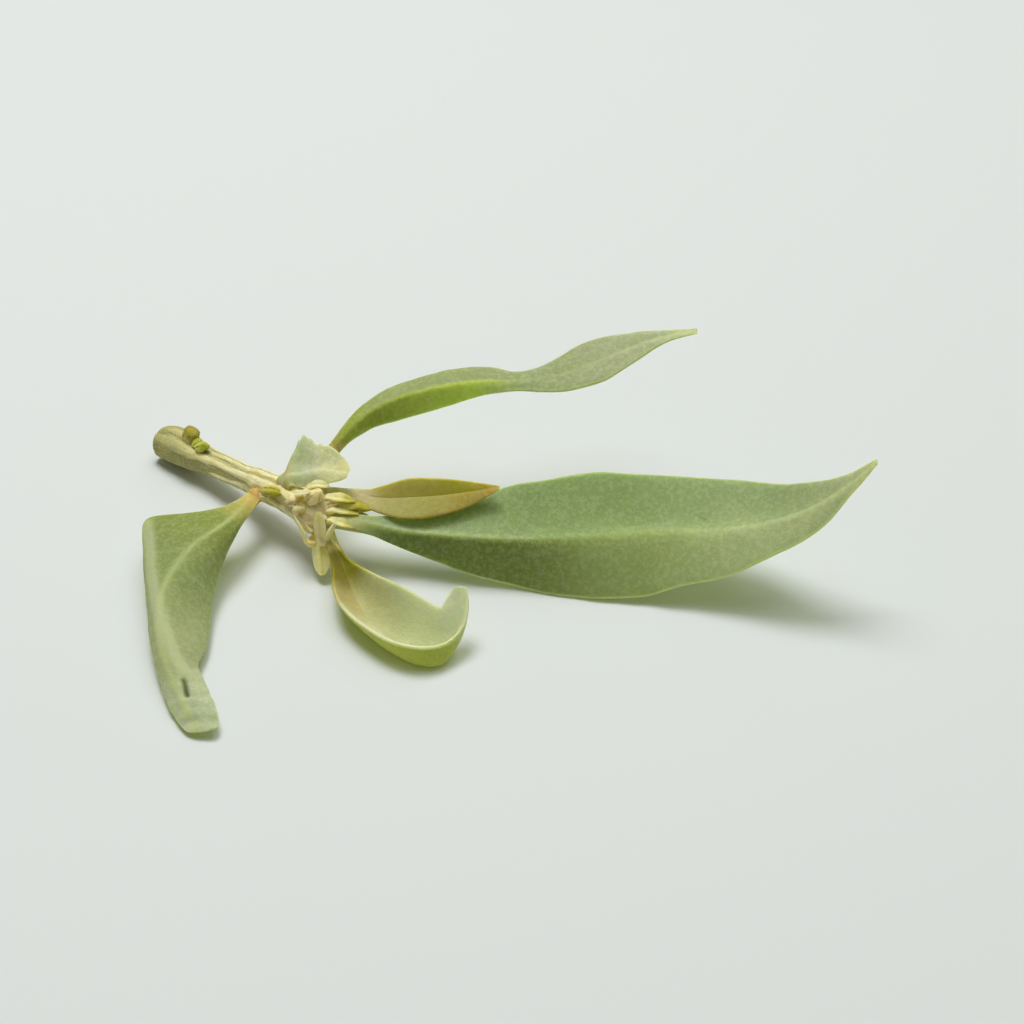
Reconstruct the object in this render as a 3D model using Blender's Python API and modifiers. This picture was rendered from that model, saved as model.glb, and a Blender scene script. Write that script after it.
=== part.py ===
"""Cut sprig of grey saltbush, lying on a flat surface.

A short ribbed stem lies with its cut end on the surface and rises to a crown
of small scales and buds. Six leaves grow from the stem. Every leaf, bud and
scale is a solid of its own, seated a hair's breadth off the stem.

Units: the dimensions below are in millimetres and are turned into metres
where a shape is made. +Z is up, +X runs along the large leaf.
"""
import math

import bmesh
import bpy
from mathutils import Vector

MM = 0.001

# Middle of the sprig's footprint, in the frame that the points below use.
FOOTPRINT_MIDDLE = Vector((-1.14, -11.59, -0.01))

# Leaf blades and stalks. The stalk thins to the blade over its share of the length,
# or over its rows on a leaf that is built from rows.
BLADE_THICKNESS = 0.6
STALK_THICKNESS = 1.1
STALK_SHARE = 0.16
STALK_ROWS = 3

# Buds taper towards the tip from this far behind their middle, in half lengths.
BUD_SHOULDER = 0.2

# Stem.
STEM_RIBS = 8
STEM_RIB_DEPTH = 0.05
STEM_SIDES = 24


def clear_scene():
    """Start from an empty file."""
    for item in list(bpy.data.objects):
        bpy.data.objects.remove(item)


def make_collection(name):
    """A collection linked to the scene."""
    group = bpy.data.collections.new(name)
    bpy.context.scene.collection.children.link(group)
    return group


def make_material(name, colour, roughness):
    """A plain dielectric material."""
    material = bpy.data.materials.new(name)
    material.use_nodes = True
    shader = material.node_tree.nodes["Principled BSDF"]
    shader.inputs["Base Color"].default_value = (*colour, 1.0)
    shader.inputs["Roughness"].default_value = roughness
    shader.inputs["Metallic"].default_value = 0.0
    return material


def millimetres(values):
    """A vector in metres from three millimetre values."""
    return Vector(values) * MM


def smooth_between(stations, along):
    """Values at one place of a station table, on a smooth curve through it.

    A station is (place along the leaf from 0 to 1, value, value, ...).
    """
    last = len(stations) - 1
    index = 0
    while index < last - 1 and along > stations[index + 1][0]:
        index += 1
    before = stations[max(index - 1, 0)]
    start = stations[index]
    end = stations[index + 1]
    after = stations[min(index + 2, last)]
    span = end[0] - start[0]
    part = (along - start[0]) / span
    values = []
    for column in range(1, len(start)):
        slope_in = (end[column] - before[column]) / (end[0] - before[0]) * span
        slope_out = (after[column] - start[column]) / (after[0] - start[0]) * span
        square, cube = part * part, part ** 3
        values.append(
            (2 * cube - 3 * square + 1) * start[column]
            + (cube - 2 * square + part) * slope_in
            + (3 * square - 2 * cube) * end[column]
            + (cube - square) * slope_out
        )
    return values


def guide_curve(name, route, twist):
    """The hidden curve that a leaf's midrib follows."""
    curve = bpy.data.curves.new(name, "CURVE")
    curve.dimensions = "3D"
    curve.twist_mode = twist
    curve.use_stretch = True
    curve.use_deform_bounds = True
    spline = curve.splines.new("BEZIER")
    spline.bezier_points.add(len(route) - 1)
    for point, place in zip(spline.bezier_points, route):
        point.co = millimetres(place) - millimetres(route[0])
        point.handle_left_type = "AUTO"
        point.handle_right_type = "AUTO"
    guide = bpy.data.objects.new(name, curve)
    guide.hide_render = True
    guide.display_type = "WIRE"
    guide.location = millimetres(route[0])
    guide.parent = sprig_frame
    guides.objects.link(guide)
    return guide


def add_part(name, mesh, material, location):
    """One piece of the sprig, in its own object."""
    mesh.materials.append(material)
    part = bpy.data.objects.new(name, mesh)
    part.location = location
    part.parent = sprig_frame
    sprig.objects.link(part)
    return part


def leaf(name, route, stations, material, length_steps=28, width_steps=6, curl=0.0,
         twist="Z_UP", blade=BLADE_THICKNESS, stalk=STALK_THICKNESS):
    """A leaf: a flat grid, shaped across its midrib, then bent along its route.

    route: points of the midrib from the stem to the tip, in millimetres.
    stations: (place along, left width, right width, left rise, right rise), with
    the rise of each half above the level in degrees, left as seen from the stem.
    curl: degrees that each half bends upwards between midrib and margin.
    """
    length = sum((Vector(b) - Vector(a)).length for a, b in zip(route, route[1:]))
    shape = bmesh.new()
    bmesh.ops.create_grid(shape, x_segments=length_steps, y_segments=width_steps, size=0.5)
    stalk_weights = shape.verts.layers.deform.verify()
    for vertex in shape.verts:
        along = vertex.co.x + 0.5
        across = vertex.co.y * 2.0
        left, right, left_rise, right_rise = smooth_between(stations, along)
        width, rise = (left, left_rise) if across > 0.0 else (right, right_rise)
        reach = abs(across) * width
        angle = math.radians(rise + curl * (abs(across) - 1.0) / 2.0)
        vertex.co.x = along * length * MM
        vertex.co.y = math.copysign(reach * math.cos(angle), across) * MM
        vertex.co.z = reach * math.sin(angle) * MM
        vertex[stalk_weights][0] = max(0.0, 1.0 - along / STALK_SHARE)
    mesh = bpy.data.meshes.new(name)
    shape.to_mesh(mesh)
    shape.free()
    mesh.shade_smooth()

    part = add_part(name, mesh, material, millimetres(route[0]))
    part.vertex_groups.new(name="stalk")
    bend = part.modifiers.new("follow the midrib", "CURVE")
    bend.object = guide_curve(name + "_midrib", route, twist)
    bend.deform_axis = "POS_X"
    wall = part.modifiers.new("thickness", "SOLIDIFY")
    wall.thickness = stalk * MM
    wall.offset = 0.0
    wall.vertex_group = "stalk"
    wall.thickness_vertex_group = blade / stalk
    return part


def hollow_leaf(name, rows, material, belly=0.25, stalk=0.8):
    """A leaf bent too much for one route: a cage of rows across it, then subdivided.

    rows: (left margin, midrib, right margin) from the stem to the tip, in millimetres.
    belly: how far the middle of each half bows outwards, as a share of the depth.
    """
    first = Vector(rows[0][1])
    shape = bmesh.new()
    stalk_weights = shape.verts.layers.deform.verify()
    cage = []
    for number, (left, keel, right) in enumerate(rows):
        left, keel, right = Vector(left), Vector(keel), Vector(right)
        bow = belly * (keel - (left + right) / 2.0)
        across = (left, (left + keel) / 2.0 + bow, keel, (keel + right) / 2.0 + bow, right)
        line = [shape.verts.new((point - first) * MM) for point in across]
        for vertex in line:
            vertex[stalk_weights][0] = max(0.0, 1.0 - number / STALK_ROWS)
        cage.append(line)
    for near, far in zip(cage, cage[1:]):
        for side in range(4):
            shape.faces.new((near[side], near[side + 1], far[side + 1], far[side]))
    mesh = bpy.data.meshes.new(name)
    shape.to_mesh(mesh)
    shape.free()
    mesh.shade_smooth()

    part = add_part(name, mesh, material, first * MM)
    part.vertex_groups.new(name="stalk")
    smooth = part.modifiers.new("smooth cage", "SUBSURF")
    smooth.levels = 2
    smooth.render_levels = 2
    wall = part.modifiers.new("thickness", "SOLIDIFY")
    wall.thickness = stalk * MM
    wall.offset = 0.0
    wall.vertex_group = "stalk"
    wall.thickness_vertex_group = BLADE_THICKNESS / stalk
    return part


def bud(name, base, tip, width, thickness, material, point=0.45, sides=12, rings=9):
    """A plump closed bud between its base and its tip."""
    axis = millimetres(tip) - millimetres(base)
    shape = bmesh.new()
    bmesh.ops.create_uvsphere(shape, u_segments=sides, v_segments=rings, radius=1.0)
    for vertex in shape.verts:
        along = vertex.co.z
        taper = 1.0 - point * max(along, -BUD_SHOULDER) ** 2
        across = vertex.co.x * taper * width / 2.0 * MM
        deep = vertex.co.y * taper * thickness / 2.0 * MM
        vertex.co = Vector((along * axis.length / 2.0, across, deep))
    mesh = bpy.data.meshes.new(name)
    shape.to_mesh(mesh)
    shape.free()
    mesh.shade_smooth()
    part = add_part(name, mesh, material, millimetres(base) + axis / 2.0)
    part.rotation_mode = "QUATERNION"
    part.rotation_quaternion = axis.to_track_quat("X", "Z")
    return part


def stem(name, route, material):
    """The ribbed stem: a fluted section carried along a curve of varying radius.

    route: (x, y, z, radius) from the cut end to the crown, in millimetres.
    """
    section_curve = bpy.data.curves.new(name + "_section", "CURVE")
    section_curve.dimensions = "2D"
    outline = section_curve.splines.new("POLY")
    outline.points.add(STEM_SIDES - 1)
    for index, point in enumerate(outline.points):
        turn = -2.0 * math.pi * index / STEM_SIDES
        reach = (1.0 + STEM_RIB_DEPTH * math.cos(STEM_RIBS * turn)) * MM
        point.co = (reach * math.cos(turn), reach * math.sin(turn), 0.0, 1.0)
    outline.use_cyclic_u = True
    section = bpy.data.objects.new(name + "_section", section_curve)
    section.hide_render = True
    section.display_type = "WIRE"
    section.parent = sprig_frame
    guides.objects.link(section)

    curve = bpy.data.curves.new(name, "CURVE")
    curve.dimensions = "3D"
    curve.twist_mode = "Z_UP"
    curve.resolution_u = 2
    curve.bevel_mode = "OBJECT"
    curve.bevel_object = section
    curve.use_fill_caps = True
    spline = curve.splines.new("BEZIER")
    spline.bezier_points.add(len(route) - 1)
    for point, (x, y, z, radius) in zip(spline.bezier_points, route):
        point.co = millimetres((x, y, z)) - millimetres(route[0][:3])
        point.handle_left_type = "AUTO"
        point.handle_right_type = "AUTO"
        point.radius = radius
    curve.materials.append(material)
    part = bpy.data.objects.new(name, curve)
    part.location = millimetres(route[0][:3])
    part.parent = sprig_frame
    sprig.objects.link(part)
    return part


clear_scene()
sprig = make_collection("saltbush_sprig")
guides = make_collection("guides")
sprig_frame = bpy.data.objects.new("sprig_frame", None)
sprig_frame.location = -FOOTPRINT_MIDDLE * MM
guides.objects.link(sprig_frame)

bark = make_material("straw_bark", (0.50, 0.43, 0.20), 0.75)
old_bark = make_material("olive_bark", (0.28, 0.24, 0.05), 0.80)
mealy_green = make_material("mealy_green_leaf", (0.25, 0.34, 0.13), 0.80)
pale_green = make_material("pale_green_leaf", (0.42, 0.48, 0.27), 0.85)
bright_green = make_material("bright_green_leaf", (0.36, 0.42, 0.16), 0.75)
olive_brown = make_material("olive_brown_leaf", (0.24, 0.22, 0.05), 0.75)
bud_olive = make_material("bud_olive", (0.32, 0.30, 0.07), 0.75)
scale_tan = make_material("scale_tan", (0.48, 0.40, 0.18), 0.80)

stem("main_stem", [
    (-35.7, 9.7, 1.68, 1.60),
    (-34.4, 8.5, 1.87, 1.70),
    (-32.4, 6.7, 2.20, 1.70),
    (-30.6, 5.0, 2.55, 1.45),
    (-26.4, 1.1, 3.40, 1.32),
    (-24.6, -0.6, 3.80, 1.55),
    (-22.6, -2.8, 4.25, 1.45),
    (-20.6, -4.9, 4.70, 1.65),
    (-19.1, -6.5, 5.00, 1.95),
    (-18.1, -7.5, 5.15, 1.60),
    (-17.6, -8.0, 5.25, 0.95),
], bark)

leaf("large_leaf", [
    (-16.7, -8.1, 5.25),
    (-10.9, -9.2, 4.7),
    (-5.0, -10.4, 4.9),
    (0.8, -10.8, 4.9),
    (8.5, -10.9, 5.6),
    (14.3, -10.5, 5.9),
    (20.8, -11.5, 6.9),
    (27.4, -13.4, 10.4),
    (31.9, -13.9, 14.2),
    (34.3, -14.0, 17.0),
], [
    (0.00, 0.70, 0.70, 10, -20),
    (0.06, 0.70, 0.80, 20, -40),
    (0.12, 1.20, 1.70, 25, -70),
    (0.22, 3.80, 3.60, 24, -78),
    (0.33, 6.10, 5.00, 30, -70),
    (0.46, 6.60, 6.20, 30, -58),
    (0.58, 5.90, 5.80, 28, -45),
    (0.69, 5.40, 4.60, 25, -36),
    (0.83, 3.10, 2.80, 30, -35),
    (0.93, 1.20, 1.00, 25, -30),
    (1.00, 0.30, 0.30, 10, -10),
], mealy_green, length_steps=34)

leaf("arching_leaf", [
    (-19.3, -3.6, 6.7),
    (-19.0, -2.0, 7.0),
    (-17.7, -0.2, 7.9),
    (-15.8, 1.2, 9.7),
    (-12.9, 2.6, 11.3),
    (-8.1, 2.9, 13.1),
    (-3.1, 3.0, 14.0),
    (0.4, 2.6, 14.3),
    (4.7, 2.6, 15.0),
    (10.6, 4.8, 16.2),
    (14.5, 5.8, 17.2),
    (18.2, 5.8, 18.0),
], [
    (0.00, 0.60, 0.60, 0, -10),
    (0.12, 0.70, 0.80, 0, -40),
    (0.19, 1.20, 1.50, 0, -70),
    (0.27, 2.00, 2.30, 0, -78),
    (0.39, 2.40, 2.30, 0, -78),
    (0.50, 2.20, 1.40, 0, -60),
    (0.57, 1.60, 1.20, -5, -20),
    (0.68, 2.80, 2.60, 0, -4),
    (0.76, 3.00, 2.80, 4, -4),
    (0.85, 2.00, 1.80, 8, -8),
    (0.93, 0.80, 0.80, 8, -8),
    (1.00, 0.35, 0.35, 0, 0),
], bright_green, length_steps=34)

hollow_leaf("drooping_leaf", [
    ((-24.8, -3.3, 4.2), (-25.1, -2.8, 4.3), (-25.4, -2.3, 4.3)),
    ((-25.3, -5.6, 4.6), (-26.0, -5.2, 4.9), (-26.5, -4.3, 4.8)),
    ((-26.0, -7.8, 4.7), (-27.0, -8.0, 5.3), (-28.9, -5.9, 5.0)),
    ((-26.6, -9.5, 4.2), (-28.2, -10.0, 5.3), (-32.1, -6.2, 4.7)),
    ((-27.1, -10.7, 3.6), (-29.3, -11.5, 5.2), (-34.5, -6.3, 4.3)),
    ((-27.5, -12.1, 3.1), (-30.3, -13.0, 5.0), (-35.5, -8.0, 3.9)),
    ((-27.9, -13.7, 2.6), (-31.3, -14.7, 4.7), (-35.7, -10.2, 3.4)),
    ((-28.1, -15.3, 2.2), (-32.1, -16.5, 4.4), (-35.4, -12.9, 2.8)),
    ((-28.4, -17.2, 1.8), (-32.7, -18.5, 4.1), (-34.9, -15.9, 2.4)),
    ((-28.5, -19.2, 1.4), (-32.8, -20.7, 3.8), (-34.5, -18.8, 2.1)),
    ((-28.8, -21.4, 1.2), (-32.5, -23.0, 3.5), (-34.2, -21.4, 1.8)),
    ((-29.1, -23.5, 1.1), (-32.0, -25.4, 3.2), (-33.5, -24.3, 1.5)),
    ((-29.6, -25.4, 1.2), (-31.2, -27.7, 2.8), (-32.7, -26.8, 1.2)),
    ((-28.8, -28.1, 1.6), (-30.3, -29.9, 2.4), (-31.9, -29.3, 0.9)),
    ((-27.6, -30.8, 1.8), (-29.3, -31.7, 1.9), (-30.9, -31.5, 0.6)),
    ((-27.4, -32.5, 1.5), (-28.5, -32.9, 1.3), (-30.0, -33.0, 0.4)),
    ((-27.7, -33.6, 0.9), (-28.5, -34.0, 0.7), (-29.4, -33.9, 0.4)),
], mealy_green, belly=0.12, stalk=1.1)

hollow_leaf("cupped_leaf", [
    ((-16.8, -9.1, 4.1), (-17.4, -8.9, 4.05), (-18.0, -9.1, 4.0)),
    ((-16.3, -10.6, 3.5), (-16.8, -10.4, 3.2), (-17.4, -10.8, 3.3)),
    ((-15.6, -11.8, 3.1), (-16.4, -11.7, 2.4), (-17.3, -12.5, 2.9)),
    ((-13.9, -13.7, 3.6), (-15.5, -13.9, 0.9), (-17.3, -15.4, 3.1)),
    ((-12.1, -15.8, 4.3), (-14.0, -17.2, 0.3), (-16.8, -17.9, 3.1)),
    ((-10.3, -17.5, 4.7), (-12.0, -20.2, 0.1), (-15.0, -20.4, 3.1)),
    ((-8.7, -18.8, 4.6), (-9.7, -22.5, 0.0), (-12.3, -23.3, 3.1)),
    ((-7.5, -19.8, 4.4), (-7.5, -23.9, 0.0), (-9.6, -24.5, 3.1)),
    ((-6.8, -20.0, 4.2), (-6.1, -23.5, 0.5), (-7.3, -24.2, 2.8)),
    ((-6.5, -19.9, 4.4), (-5.3, -22.3, 1.5), (-5.6, -22.9, 2.5)),
    ((-6.4, -19.6, 4.6), (-4.8, -21.1, 2.6), (-4.4, -21.2, 3.3)),
    ((-6.0, -19.0, 5.0), (-4.8, -19.8, 3.9), (-4.1, -19.9, 4.5)),
    ((-5.4, -18.4, 5.5), (-4.8, -18.4, 5.4), (-4.3, -18.5, 5.5)),
], bright_green)

leaf("folded_young_leaf", [
    (-17.2, -5.2, 6.1),
    (-15.4, -5.2, 6.2),
    (-13.0, -5.8, 6.2),
    (-9.9, -6.1, 6.5),
    (-6.0, -6.5, 7.2),
    (-1.2, -7.2, 8.6),
], [
    (0.00, 0.60, 0.60, 10, -10),
    (0.16, 0.70, 0.80, 40, -12),
    (0.28, 1.30, 1.30, 60, -8),
    (0.45, 2.00, 2.80, 67, -9),
    (0.69, 1.60, 2.30, 65, -14),
    (0.88, 0.80, 1.10, 50, -25),
    (1.00, 0.30, 0.30, 20, -20),
], olive_brown, length_steps=20)

leaf("torn_pale_leaf", [
    (-22.3, -3.2, 6.6),
    (-20.6, -3.7, 7.6),
    (-18.3, -4.3, 8.4),
    (-15.9, -5.4, 9.0),
], [
    (0.00, 0.70, 0.70, 10, -10),
    (0.18, 2.00, 0.90, 40, -20),
    (0.36, 3.60, 1.00, 48, -30),
    (0.55, 2.80, 0.90, 40, -30),
    (0.78, 1.60, 0.80, 30, -20),
    (1.00, 0.50, 0.50, 10, -10),
], pale_green, length_steps=14, blade=0.5, stalk=0.8)

bud("old_shoot_scar", (-32.5, 6.9, 4.25), (-31.9, 7.2, 5.6), 1.7, 1.6, old_bark, point=0.1)
bud("far_node_bud", (-31.6, 5.6, 4.65), (-30.3, 4.6, 4.8), 0.9, 0.8, bud_olive)
bud("drooping_leaf_bud", (-24.4, -3.4, 6.1), (-22.6, -4.9, 6.2), 1.1, 1.0, bud_olive)
bud("crown_bud_upper", (-16.8, -6.8, 6.5), (-13.7, -7.4, 6.1), 1.2, 0.9, bud_olive)
bud("crown_bud_lower", (-16.6, -6.5, 5.3), (-13.9, -6.9, 5.1), 1.2, 0.9, bud_olive)
bud("terminal_bud", (-19.6, -6.9, 7.25), (-18.6, -7.6, 8.4), 1.5, 1.3, old_bark)

leaf("upright_scale", [
    (-18.4, -9.7, 3.7),
    (-18.6, -9.5, 5.3),
    (-18.7, -9.0, 7.0),
], [
    (0.00, 0.35, 0.35, 0, 0),
    (0.40, 0.60, 0.60, 0, 0),
    (0.80, 0.50, 0.50, 0, 0),
    (1.00, 0.20, 0.20, 0, 0),
], scale_tan, length_steps=8, width_steps=4, blade=0.4, stalk=0.5, twist="MINIMUM")

leaf("side_scale", [
    (-19.9, -9.2, 3.4),
    (-20.4, -9.0, 4.7),
    (-21.2, -8.2, 6.0),
], [
    (0.00, 0.35, 0.35, 0, 0),
    (0.40, 0.50, 0.50, 0, 0),
    (1.00, 0.25, 0.25, 0, 0),
], scale_tan, length_steps=8, width_steps=4, blade=0.4, stalk=0.5, twist="MINIMUM")

leaf("sheath_stub", [
    (-18.7, -8.7, 3.5),
    (-18.6, -10.2, 2.1),
    (-18.4, -11.4, 1.0),
], [
    (0.00, 0.45, 0.45, 0, 0),
    (0.50, 0.80, 0.80, 10, 10),
    (1.00, 0.55, 0.55, 10, 10),
], scale_tan, length_steps=8, width_steps=4, blade=0.5, stalk=0.5)
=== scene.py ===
"""Looks of the saltbush sprig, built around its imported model.

The sprig lies on a pale table: a cut, ribbed twig with six mealy leaves, five
buds, a scar and a crown of dry scales. Points and sizes are in millimetres,
read from the photograph's middle; +X runs along the large leaf and +Z is up.
"""
import math

import bpy
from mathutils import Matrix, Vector, noise


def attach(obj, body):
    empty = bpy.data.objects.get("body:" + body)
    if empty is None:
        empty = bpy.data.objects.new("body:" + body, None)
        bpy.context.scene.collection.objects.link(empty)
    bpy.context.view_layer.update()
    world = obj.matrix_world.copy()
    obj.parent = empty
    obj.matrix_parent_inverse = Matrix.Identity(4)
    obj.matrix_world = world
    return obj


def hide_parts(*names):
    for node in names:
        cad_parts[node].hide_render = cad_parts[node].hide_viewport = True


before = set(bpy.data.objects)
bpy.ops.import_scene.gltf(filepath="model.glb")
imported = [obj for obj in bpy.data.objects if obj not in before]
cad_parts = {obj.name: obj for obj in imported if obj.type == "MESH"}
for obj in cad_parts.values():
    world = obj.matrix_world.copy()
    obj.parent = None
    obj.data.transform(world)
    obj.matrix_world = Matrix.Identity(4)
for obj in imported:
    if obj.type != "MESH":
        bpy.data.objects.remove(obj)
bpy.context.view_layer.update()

# MAIN STEM
# A young twig of dry straw-coloured bark: a few broad pale ridges over olive grooves, swollen where
# leaves grow, its cut end weathered to a knob. One sheet is rolled round the twig's axis and bent to it.
MM = 0.001
SPRIG_PLACE = Vector((1.14, 11.59, 0.01))
STEM_ROUTE = [
    (-35.7, 9.7, 1.68, 1.60),
    (-34.4, 8.5, 1.87, 1.70),
    (-32.4, 6.7, 2.20, 1.70),
    (-30.6, 5.0, 2.55, 1.45),
    (-26.4, 1.1, 3.40, 1.32),
    (-24.6, -0.6, 3.80, 1.55),
    (-22.6, -2.8, 4.25, 1.45),
    (-20.6, -4.9, 4.70, 1.65),
    (-19.1, -6.5, 5.00, 1.95),
    (-18.1, -7.5, 5.15, 1.60),
    (-17.6, -8.0, 5.25, 0.95),
]
STEM_STEPS = 280
STEM_SIDES = 120
CUT_ROWS = 24
TIP_ROWS = 10
KNOB_ROUNDING = 0.40
HOLLOW_DEPTH = 0.45
HOLLOW_SHARE = 0.32
CUT_ROUGHNESS = 0.20
CUT_HEART = 0.45
CUT_RIM = 0.35
FIBRE_DEPTH = 0.05
LUMP_HEIGHT = 0.07
BETWEEN_RIDGES = 0.14
RIDGE_WANDER = 9.0
# The ridges on the near, lower side begin further along, so that side keeps the dark groove colour near the
# cut end: painted shade.
RIDGES = [
    # (turn round the stem in degrees, half width in degrees, height, place where it begins)
    (133, 20, 0.20, -0.1),
    (182, 13, 0.17, 0.28),
    (88, 14, 0.13, -0.1),
    (46, 15, 0.14, -0.1),
    (2, 15, 0.15, -0.1),
    (-42, 16, 0.15, -0.1),
    (-88, 15, 0.14, 0.1),
    (-132, 14, 0.13, 0.35),
]
CUSHIONS = [
    # (place along the stem, turn round it in degrees, height, length, half angle)
    (0.06, 120, 0.12, 0.05, 70),
    (0.10, 62, 0.45, 0.08, 55),
    (0.17, 110, 0.30, 0.04, 45),
    (0.19, 150, 0.20, 0.04, 45),
    (0.60, 170, 0.40, 0.035, 45),
    (0.68, 95, 0.30, 0.035, 50),
    (0.80, 150, 0.25, 0.05, 50),
    (0.88, 60, 0.35, 0.04, 50),
    (0.90, 200, 0.30, 0.05, 60),
]


def metres(point):
    """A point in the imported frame, from its millimetres."""
    return (Vector(point[:3]) + SPRIG_PLACE) * MM


def route_length(route):
    """Length of a route through its points, in millimetres."""
    return sum((Vector(b[:3]) - Vector(a[:3])).length for a, b in zip(route, route[1:]))


def between(stations, along):
    """Values at one place of a station table, on a smooth curve through it.

    A station is (place along the piece from 0 to 1, value, value, ...).
    """
    last = len(stations) - 1
    index = 0
    while index < last - 1 and along > stations[index + 1][0]:
        index += 1
    before = stations[max(index - 1, 0)]
    start = stations[index]
    end = stations[index + 1]
    after = stations[min(index + 2, last)]
    span = end[0] - start[0]
    part = (along - start[0]) / span
    square, cube = part * part, part ** 3
    values = []
    for column in range(1, len(start)):
        slope_in = (end[column] - before[column]) / (end[0] - before[0]) * span
        slope_out = (after[column] - start[column]) / (after[0] - start[0]) * span
        values.append(
            (2 * cube - 3 * square + 1) * start[column]
            + (cube - 2 * square + part) * slope_in
            + (3 * square - 2 * cube) * end[column]
            + (cube - square) * slope_out
        )
    return values


def degrees_apart(turn, direction):
    """How far a turn in radians is from a direction in degrees, the short way round."""
    return (math.degrees(turn) - direction + 180.0) % 360.0 - 180.0


def sheet_of(name, steps_along, steps_across):
    """A flat unit sheet, the blank of a leaf or of the rolled stem."""
    bpy.ops.object.select_all(action="DESELECT")
    bpy.ops.mesh.primitive_grid_add(x_subdivisions=steps_along, y_subdivisions=steps_across,
                                    size=1.0, location=(0.0, 0.0, 0.0))
    sheet = bpy.context.object
    sheet.name = name
    sheet.data.name = name
    return sheet


def mark(piece, **numbers):
    """Store numbers under their names, one a vertex, for the materials to read."""
    for name, values in numbers.items():
        layer = piece.data.attributes.new(name, "FLOAT", "POINT")
        layer.data.foreach_set("value", values)


def marked(piece, *names):
    """The numbers stored under each name, one a vertex."""
    columns = []
    for name in names:
        values = [0.0] * len(piece.data.vertices)
        piece.data.attributes[name].data.foreach_get("value", values)
        columns.append(values)
    return columns


def pick(piece):
    """Select one piece to work on."""
    bpy.ops.object.select_all(action="DESELECT")
    piece.select_set(True)
    bpy.context.view_layer.objects.active = piece


def apply_modifiers(piece):
    """Apply a piece's modifiers in their order."""
    pick(piece)
    for modifier in list(piece.modifiers):
        bpy.ops.object.modifier_apply(modifier=modifier.name)


def bend_along(piece, route, twist="Z_UP"):
    """Bend a piece that lies along X so that it follows a smooth route."""
    line = bpy.data.curves.new("route", "CURVE")
    line.dimensions = "3D"
    line.twist_mode = twist
    line.resolution_u = 24
    line.use_stretch = True
    line.use_deform_bounds = True
    spline = line.splines.new("BEZIER")
    spline.bezier_points.add(len(route) - 1)
    for knot, place in zip(spline.bezier_points, route):
        knot.co = metres(place)
        knot.handle_left_type = "AUTO"
        knot.handle_right_type = "AUTO"
    guide = bpy.data.objects.new("route", line)
    bpy.context.scene.collection.objects.link(guide)
    bend = piece.modifiers.new("bend", "CURVE")
    bend.object = guide
    bend.deform_axis = "POS_X"
    apply_modifiers(piece)
    bpy.data.objects.remove(guide)


def close_seams(piece):
    """Merge the points that meet at a seam or a pole, and turn the faces outwards."""
    pick(piece)
    bpy.ops.object.mode_set(mode="EDIT")
    bpy.ops.mesh.select_all(action="SELECT")
    bpy.ops.mesh.remove_doubles(threshold=0.002 * MM)
    bpy.ops.mesh.normals_make_consistent(inside=False)
    bpy.ops.object.mode_set(mode="OBJECT")


def finish_piece(piece, slot, *nodes):
    """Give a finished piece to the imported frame, in place of its plain node where it has one."""
    piece.data.shade_smooth()
    if nodes:
        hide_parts(*nodes)
    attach(piece, "root")


def wire(tree, value, socket):
    """Join a node's output to a socket, or set the socket to a plain value."""
    if isinstance(value, bpy.types.NodeSocket):
        tree.links.new(value, socket)
    elif socket.type == "RGBA":
        socket.default_value = (*value, 1.0)
    else:
        socket.default_value = value


def maths(tree, operation, first, second=0.0):
    """A sum of one or two values."""
    node = tree.nodes.new("ShaderNodeMath")
    node.operation = operation
    wire(tree, first, node.inputs[0])
    wire(tree, second, node.inputs[1])
    return node.outputs[0]


def step_up(tree, value, low, high, most=1.0):
    """0 below low and the most above high, with a soft step between them."""
    node = tree.nodes.new("ShaderNodeMapRange")
    node.interpolation_type = "SMOOTHSTEP"
    wire(tree, value, node.inputs["Value"])
    node.inputs["From Min"].default_value = low
    node.inputs["From Max"].default_value = high
    node.inputs["To Max"].default_value = most
    return node.outputs["Result"]


def mixed(tree, amount, first, second):
    """One colour mixed into another."""
    node = tree.nodes.new("ShaderNodeMix")
    node.data_type = "RGBA"
    wire(tree, amount, node.inputs[0])
    wire(tree, first, node.inputs[6])
    wire(tree, second, node.inputs[7])
    return node.outputs[2]


def places_on(tree, turn=(0.0, 0.0, 0.0), stretch=(1.0, 1.0, 1.0)):
    """The piece's own coordinates in millimetres, turned and stretched."""
    here = tree.nodes.new("ShaderNodeTexCoord")
    mapping = tree.nodes.new("ShaderNodeMapping")
    mapping.inputs["Rotation"].default_value = [math.radians(angle) for angle in turn]
    mapping.inputs["Scale"].default_value = [factor / MM for factor in stretch]
    tree.links.new(here.outputs["Object"], mapping.inputs["Vector"])
    return mapping.outputs["Vector"]


def grain(tree, places, size, detail=2.0, roughness=0.5):
    """Cloudy noise with features of one size, in millimetres."""
    node = tree.nodes.new("ShaderNodeTexNoise")
    wire(tree, places, node.inputs["Vector"])
    node.inputs["Scale"].default_value = 1.0 / size
    node.inputs["Detail"].default_value = detail
    node.inputs["Roughness"].default_value = roughness
    return node.outputs["Fac"]


def stored(tree, name):
    """The numbers that a mesh stores under a name."""
    node = tree.nodes.new("ShaderNodeAttribute")
    node.attribute_name = name
    return node.outputs["Fac"]


def along_ramp(tree, colours):
    """Colours from the stalk to the tip of a piece, each (place along, colour)."""
    ramp = tree.nodes.new("ShaderNodeValToRGB")
    ramp.color_ramp.interpolation = "EASE"
    while len(ramp.color_ramp.elements) < len(colours):
        ramp.color_ramp.elements.new(0.5)
    for element, (place, colour) in zip(ramp.color_ramp.elements, colours):
        element.position = place
        element.color = (*colour, 1.0)
    wire(tree, stored(tree, "along"), ramp.inputs["Fac"])
    return ramp.outputs["Color"]


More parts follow.
